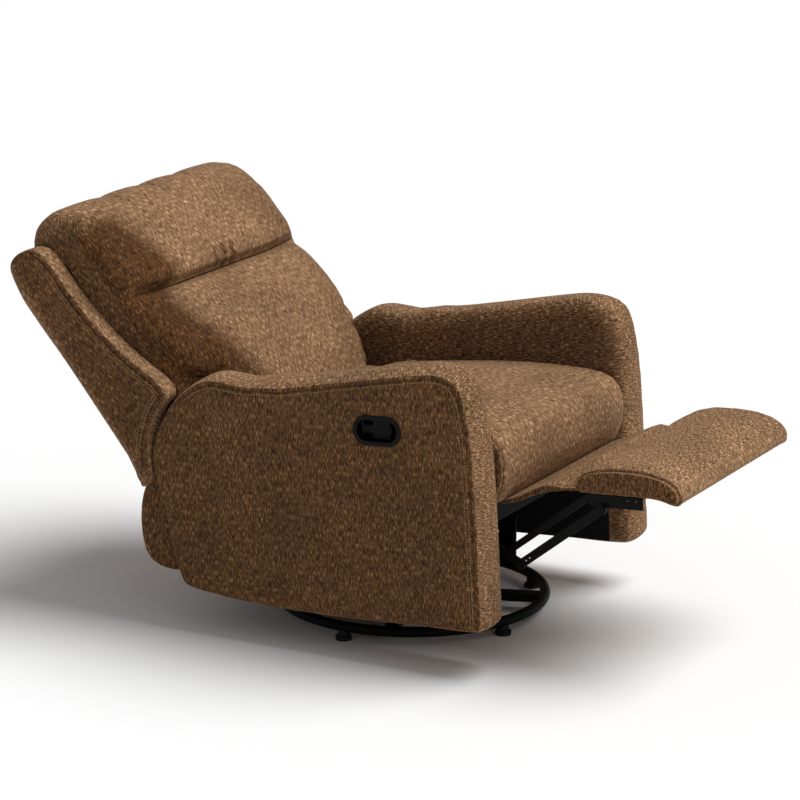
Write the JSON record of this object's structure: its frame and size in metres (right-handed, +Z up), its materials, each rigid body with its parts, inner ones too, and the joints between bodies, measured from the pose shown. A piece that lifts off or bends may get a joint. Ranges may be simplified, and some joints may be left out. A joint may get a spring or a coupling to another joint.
{
  "type": "swivel glider recliner",
  "caption": "Upholstered armchair that swivels and glides on a steel ring base, with a back that reclines and a footrest that folds out from under the seat.",
  "frame": {"origin": "swivel axis on the floor, under the middle of the base ring", "axes": "+Z up, -Y towards the sitter's feet, +X to the sitter's left"},
  "size_m": [0.803, 1.483, 0.8514],
  "materials": {
    "frame_black": "satin",
    "link_steel": "satin",
    "foot_plastic": "matte",
    "release_plastic": "satin",
    "hardwood": "matte",
    "upholstery": "matte",
    "lining": "matte"
  },
  "bodies": {
    "base": {"base_ring": "frame_black", "base_feet": "foot_plastic", "swivel_race_lower": "link_steel", "swivel_pin": "link_steel"},
    "carriage": {"swivel_race_upper": "link_steel", "swivel_plate": "frame_black", "carriage_rails": "frame_black", "glider_bracket_left": "frame_black", "glider_bracket_right": "frame_black"},
    "front_swing_links": {"front_swing_link_left": "link_steel", "front_swing_link_right": "link_steel"},
    "rear_swing_links": {"rear_swing_link_left": "link_steel", "rear_swing_link_right": "link_steel"},
    "seat": {"hanger_left": "frame_black", "hanger_right": "frame_black", "side_plate_left": "frame_black", "side_plate_right": "frame_black", "seat_rail_left": "frame_black", "seat_rail_right": "frame_black", "frame_cross_tube": "frame_black", "arm_rail_front": "frame_black", "arm_rail_rear": "frame_black", "seat_box": "hardwood", "seat_springs": "link_steel", "seat_cushion": "upholstery", "arm_left": "upholstery", "arm_right": "upholstery", "arm_lining_left": "lining", "arm_lining_right": "lining", "rear_rail": "hardwood", "lever_bezel": "release_plastic", "rear_skirt": "upholstery", "footrest_flap": "upholstery"},
    "release_pull": {"lever_pull": "release_plastic"},
    "back": {"back_bracket_left": "frame_black", "back_bracket_right": "frame_black", "back_frame": "hardwood", "lumbar_cushion": "upholstery", "head_pillow": "upholstery", "wing_left": "upholstery", "wing_right": "upholstery", "back_panel": "upholstery"},
    "lift_links": {"lift_link_left": "frame_black", "lift_link_right": "frame_black", "drive_tube": "frame_black"},
    "control_links": {"control_link_left": "frame_black", "control_link_right": "frame_black"},
    "upper_links": {"upper_link_left": "frame_black", "upper_link_right": "frame_black"},
    "long_links": {"long_link_left": "frame_black", "long_link_right": "frame_black"},
    "footrest": {"footrest_bracket_left": "frame_black", "footrest_bracket_right": "frame_black", "footrest_board": "hardwood", "footrest_pad": "upholstery"}
  },
  "joints": [
    {"name": "swivel", "type": "hinge", "parent": "base", "child": "carriage", "pos_m": [0, 0, 0], "axis": [0, 0, 1], "continuous": true},
    {"name": "glide", "type": "hinge", "parent": "carriage", "child": "front_swing_links", "pos_m": [0, -0.125, 0.25], "axis": [1, 0, 0], "range_deg": [-25, 0]},
    {"name": "glide_rear", "type": "hinge", "parent": "carriage", "child": "rear_swing_links", "pos_m": [0, 0.125, 0.25], "axis": [1, 0, 0], "range_deg": [-24.2, 0]},
    {"name": "seat_rock", "type": "hinge", "parent": "front_swing_links", "child": "seat", "pos_m": [0, -0.07161, 0.13367], "axis": [1, 0, 0], "range_deg": [0, 29.8]},
    {"name": "recline", "type": "hinge", "parent": "seat", "child": "back", "pos_m": [0, 0.19933, 0.36407], "axis": [1, 0, 0], "range_deg": [0, 25], "deforming": ["rear_skirt"]},
    {"name": "footrest_lift", "type": "hinge", "parent": "seat", "child": "lift_links", "pos_m": [0, -0.19685, 0.31373], "axis": [1, 0, 0], "range_deg": [0, 90], "deforming": ["footrest_flap"]},
    {"name": "long_link", "type": "hinge", "parent": "lift_links", "child": "long_links", "pos_m": [0, -0.39498, 0.22097], "axis": [1, 0, 0], "range_deg": [-90, 0]},
    {"name": "upper_link", "type": "hinge", "parent": "lift_links", "child": "upper_links", "pos_m": [0, -0.35875, 0.23794], "axis": [1, 0, 0], "range_deg": [-90, 0]},
    {"name": "control_link", "type": "hinge", "parent": "seat", "child": "control_links", "pos_m": [0, -0.15261, 0.27887], "axis": [1, 0, 0], "range_deg": [0, 90]},
    {"name": "footrest_board", "type": "hinge", "parent": "long_links", "child": "footrest", "pos_m": [0, -0.57192, 0.36043], "axis": [1, 0, 0], "range_deg": [0, 90]},
    {"name": "release", "type": "hinge", "parent": "seat", "child": "release_pull", "pos_m": [-0.388, -0.09645, 0.49072], "axis": [0, -0.0523, -0.9986], "range_deg": [0, 35], "stiffness_Nm_per_rad": 0.15}
  ],
  "couplings": [
    {"joint": "glide_rear", "follows": "glide", "ratio": 0.96546},
    {"joint": "seat_rock", "follows": "glide", "ratio": -1.1911},
    {"joint": "long_link", "follows": "footrest_lift", "ratio": -1},
    {"joint": "upper_link", "follows": "footrest_lift", "ratio": -1},
    {"joint": "control_link", "follows": "footrest_lift", "ratio": 1},
    {"joint": "footrest_board", "follows": "footrest_lift", "ratio": 1}
  ]
}
